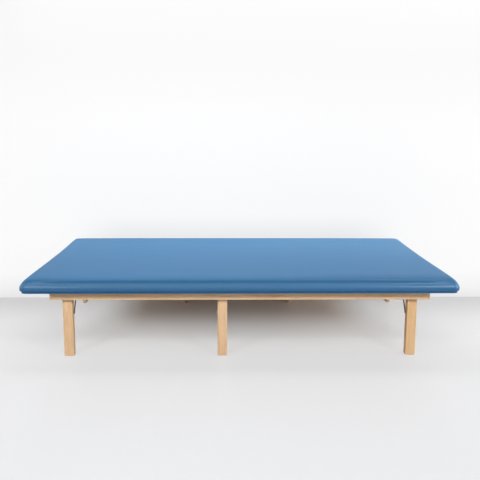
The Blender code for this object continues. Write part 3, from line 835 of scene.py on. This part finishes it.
# The staples that hold the hem to the board: fine steel wire, each with its crown flat against
# the vinyl, driven by hand all the way round, so they stand a little out of line.
def staple_tree():
    tree = Tree(
        "staples",
        {
            "Geometry": "NodeSocketGeometry",
            "Spacing": "NodeSocketFloat",
            "Crown": "NodeSocketFloat",
            "Wire": "NodeSocketFloat",
            "Stray": "NodeSocketFloat",
            "Material": "NodeSocketMaterial",
        },
    )
    sizes = "Spacing", "Crown", "Wire", "Stray"
    spacing, crown, wire, stray = (tree.given[name] for name in sizes)
    line = tree.made("GeometryNodeMeshToCurve", {}, {"Mesh": tree.given["Geometry"]})
    spots = tree.group.nodes.new("GeometryNodeCurveToPoints")
    spots.mode = "LENGTH"
    tree.group.links.new(line, spots.inputs["Curve"])
    tree.group.links.new(spacing, spots.inputs["Length"])
    size = tree.made("ShaderNodeCombineXYZ", {}, {"X": crown, "Y": wire, "Z": wire})
    staple = tree.made("GeometryNodeMeshCube", {}, {"Size": size})
    reach = tree.made("ShaderNodeMath", {"operation": "MULTIPLY"}, {0: stray, 1: -1.0})
    sway_seed, lean_seed, most_lean = 11, 5, 0.30
    sway = {2: reach, 3: stray, 8: sway_seed}
    sway = tree.made("FunctionNodeRandomValue", {"data_type": "FLOAT"}, sway, 1)
    lean = {2: -most_lean, 3: most_lean, 8: lean_seed}
    lean = tree.made("FunctionNodeRandomValue", {"data_type": "FLOAT"}, lean, 1)
    tangent = spots.outputs["Tangent"]
    along = tree.made("FunctionNodeAlignRotationToVector", {"axis": "X"}, {"Vector": tangent})
    turn = tree.made("ShaderNodeCombineXYZ", {}, {"Z": lean})
    turn = tree.made("FunctionNodeEulerToRotation", {}, {0: turn})
    along = tree.made(
        "FunctionNodeRotateRotation", {"rotation_space": "LOCAL"}, {0: along, 1: turn}
    )
    shift = {0: tangent, "Scale": sway}
    shift = tree.made("ShaderNodeVectorMath", {"operation": "SCALE"}, shift)
    moved = {"Geometry": spots.outputs["Points"], "Offset": shift}
    moved = tree.made("GeometryNodeSetPosition", {}, moved)
    placed = tree.made(
        "GeometryNodeInstanceOnPoints",
        {},
        {"Points": moved, "Instance": staple, "Rotation": along},
    )
    tree.end(placed, tree.given["Material"])
    return tree


staple_inset, staple_stand = 0.024, 0.0002
staple_line = bpy.data.meshes.new("staple line")
staple_points = [(x, y, hem_low.z - staple_stand) for x, y in hem_ring(staple_inset)]
staple_count = len(staple_points)
staple_edges = [(index, (index + 1) % staple_count) for index in range(staple_count)]
staple_line.from_pydata(staple_points, staple_edges, [])
hem_staples = staple_tree().grown(
    "hem_staples",
    staple_line,
    {"Spacing": 0.038, "Crown": 0.0105, "Wire": 0.0007, "Stray": 0.006, "Material": dull_zinc},
)
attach(hem_staples, "platform")


# The studio: a glossy pale floor, and a white wall that the base stands against. Part of their
# brightness is a glow shown only to the camera and in the floor's gloss. Both are clear from
# behind, and the wall to the shortest rays too, so that what hangs close to it is not black.
def plain_plane(name, corners, finish):
    mesh = bpy.data.meshes.new(name)
    mesh.from_pydata(corners, [], [(0, 1, 2, 3)])
    mesh.materials.append(finish)
    plane = bpy.data.objects.new(name, mesh)
    bpy.context.scene.collection.objects.link(plane)


floor_finish, floor_shader, floor_place = new_finish("floor", 0.30)
floor_shader.inputs["Specular IOR Level"].default_value = 0.35
floor_x, floor_y = floor_place.axes()[:2]
# Painted shade in the floor's colour: darker towards the wall, which shades it, and on the right,
# and under the mat a warm painted tint for the light the wood throws onto it.
toward_wall = floor_y.eased(-0.05, 0.65)
rightward = floor_x.eased(-0.6, 1.2)
beyond_legs = abs(floor_x).eased(0.54, 0.92)
floor_tone = toward_wall.between((0.61, 0.615, 0.63), (0.52, 0.525, 0.54))
right_floor_shade = toward_wall.between((0.575, 0.58, 0.59), (0.42, 0.425, 0.435))
floor_tone = rightward.between(floor_tone, right_floor_shade)
under_mat = (1 - beyond_legs) * floor_y.eased(-0.30, 0.25)
feed(floor_shader, Base_Color=under_mat.between(floor_tone, (0.53, 0.475, 0.425)))
# The glow is painted darker towards the wall and on the right, as shade.
near_glow = rightward.between((0.85, 0.85, 0.855), (0.80, 0.80, 0.805))
glow_tone = floor_y.eased(-0.15, 0.62).between(near_glow, (0.64, 0.64, 0.645))
floor_glow = floor_place.made("ShaderNodeEmission", {}, {"Color": glow_tone, "Strength": 1.0})
floor_seen = floor_place.made("ShaderNodeLightPath", {}, {}, "Is Camera Ray")
# The glow's share paints light and shade on the floor: less in the platform's shadow and least
# deep under its rear, more beyond the legs and just before the feet.
deep_shade = (1 - beyond_legs) * floor_y.eased(0.30, 0.55)
at_the_feet = floor_y.eased(-1.15, -0.60) * (1 - floor_y.eased(-0.50, -0.20))
open_share, shade_loss, side_gain, deep_loss, feet_gain = 0.52, 0.44, 0.64, 0.04, 0.16
shadow_loss = (shade_loss - side_gain * beyond_legs) * floor_y.eased(-0.31, 0.38)
floor_share = open_share - shadow_loss - deep_shade * deep_loss + at_the_feet * feet_gain
lacquer = Shade(floor_place.tree, floor_shader.outputs[0])
floor_mix = {0: floor_seen * floor_share, 1: lacquer, 2: floor_glow}
floor_mix = floor_place.made("ShaderNodeMixShader", {}, floor_mix)
below_floor = floor_place.made("ShaderNodeNewGeometry", {}, {}, "Backfacing")
floor_clear = floor_place.made("ShaderNodeBsdfTransparent")
floor_mix = {0: below_floor, 1: floor_mix, 2: floor_clear}
floor_mix = floor_place.made("ShaderNodeMixShader", {}, floor_mix)
floor_output = floor_finish.node_tree.nodes["Material Output"]
floor_finish.node_tree.links.new(floor_mix.socket, floor_output.inputs["Surface"])
room, floor_level = 9.0, -0.0005
floor_outline = (-room, -room), (room, -room), (room, room), (-room, room)
plain_plane("floor", [(x, y, floor_level) for x, y in floor_outline], floor_finish)

wall_finish, wall_shader, wall_place = new_finish("wall", 0.9)
wall_shader.inputs["Base Color"].default_value = (0.93, 0.922, 0.918, 1)
wall_shader.inputs["Specular IOR Level"].default_value = 0.0
height = wall_place.axes()[2]
ramps_per_metre = 0.5
# A painted shade in the glow's tone: darkest at the wall's foot, where it meets the floor, and a
# little darker higher up.
tone = wall_place.made(
    "ShaderNodeValToRGB",
    {
        "stops": (
            (0.0, (0.81, 0.81, 0.82)),
            (0.03, (0.89, 0.89, 0.90)),
            (0.09, (0.97, 0.97, 0.975)),
            (0.33, (0.95, 0.95, 0.955)),
            (0.62, (0.94, 0.94, 0.945)),
            (0.95, (0.92, 0.92, 0.925)),
        )
    },
    {"Fac": height * ramps_per_metre},
    "Color",
)
# A soft painted shadow on the wall just above the mat, and a faint painted shade on its right,
# lower down.
behind_mat = (1 - height.eased(0.40, 0.58)) * (1 - abs(wall_place.axes()[0]).eased(0.70, 1.10))
right_of_mat = wall_place.axes()[0].eased(-0.4, 1.2) * (1 - height.eased(1.0, 1.7))
mat_shadow_depth, right_shade_depth = 0.13, 0.04
shaded = (behind_mat * mat_shadow_depth + right_of_mat * right_shade_depth).between(tone, (0.0, 0.0, 0.0))
pale = wall_place.made("ShaderNodeEmission", {}, {"Color": shaded, "Strength": 1.0})
seen = wall_place.made("ShaderNodeLightPath", {}, {}, "Is Camera Ray")
mirrored = wall_place.made("ShaderNodeLightPath", {}, {}, "Is Glossy Ray")
plaster = Shade(wall_place.tree, wall_shader.outputs[0])
low_share, high_gain = 0.80, 0.16
wall_share = low_share + height.eased(0.9, 1.6) * high_gain
wall_share = (seen + mirrored * height.eased(0.25, 0.55)) * wall_share
facing_wall = {0: wall_share, 1: plaster, 2: pale}
facing_wall = wall_place.made("ShaderNodeMixShader", {}, facing_wall)
behind_wall = wall_place.made("ShaderNodeNewGeometry", {}, {}, "Backfacing")
ray_length = wall_place.made("ShaderNodeLightPath", {}, {}, "Ray Length")
shortest_ray = 0.06
touching = ray_length.maths("LESS_THAN", ray_length, shortest_ray)
wall_clear = wall_place.made("ShaderNodeBsdfTransparent")
wall_mix = {0: behind_wall + touching, 1: facing_wall, 2: wall_clear}
wall_mix = wall_place.made("ShaderNodeMixShader", {}, wall_mix)
wall_output = wall_finish.node_tree.nodes["Material Output"]
wall_finish.node_tree.links.new(wall_mix.socket, wall_output.inputs["Surface"])
wall_gap, wall_top = 0.0006, 5.0
wall_line = cad_box[1].y + wall_gap
wall_outline = (-room, floor_level), (room, floor_level), (room, wall_top), (-room, wall_top)
plain_plane("wall", [(x, wall_line, z) for x, z in wall_outline], wall_finish)


# The light: a wide soft bank over the platform's rear, a second one and two softboxes before it,
# a softbox at each side, and a pale room that is brighter beyond the wall.
def softbox(name, place, aim, width, height, power):
    lamp = bpy.data.lights.new(name, "AREA")
    lamp.shape = "RECTANGLE"
    lamp.size = width
    lamp.size_y = height
    lamp.energy = power
    box = bpy.data.objects.new(name, lamp)
    bpy.context.scene.collection.objects.link(box)
    aimed = (Vector(aim) - Vector(place)).to_track_quat("-Z", "Y")
    box.matrix_world = Matrix.Translation(place) @ aimed.to_matrix().to_4x4()


softbox("overhead", (0.30, 0.37, 2.05), (0.30, 0.32, 0), 3.4, 0.7, 33)
softbox("front middle", (0, -3.6, 3.5), (0, -0.3, 0.3), 5.0, 0.7, 50)
softbox("front left", (-2.8, -4.2, 3.3), (-0.2, 0, 0.2), 1.0, 1.2, 98)
softbox("front right", (2.8, -4.2, 3.3), (0.2, 0, 0.2), 1.0, 1.2, 98)
softbox("side left", (-4.5, -1.2, 1.8), (0, -0.2, 0.1), 2.6, 1.6, 55)
softbox("side right", (4.5, -1.2, 1.8), (0, -0.2, 0.1), 2.6, 1.6, 116)
room_light = bpy.data.worlds.new("room")
room_light.use_nodes = True
room_tree = room_light.node_tree
room_way = Shade(room_tree, room_tree.nodes.new("ShaderNodeTexCoord").outputs["Generated"])
room_seen = room_way.made("ShaderNodeLightPath", {}, {}, "Is Camera Ray")
from_behind = room_way.axes()[1].eased(0.30, 0.45)
room_level, behind_gain = 0.03, 0.75
room_strength = room_seen + (1 - room_seen) * (room_level + behind_gain * from_behind)
room_tree.nodes["Background"].inputs["Color"].default_value = (1, 1, 1, 1)
room_tree.links.new(room_strength.socket, room_tree.nodes["Background"].inputs["Strength"])
bpy.context.scene.world = room_light
bpy.context.scene.view_settings.view_transform = "Standard"
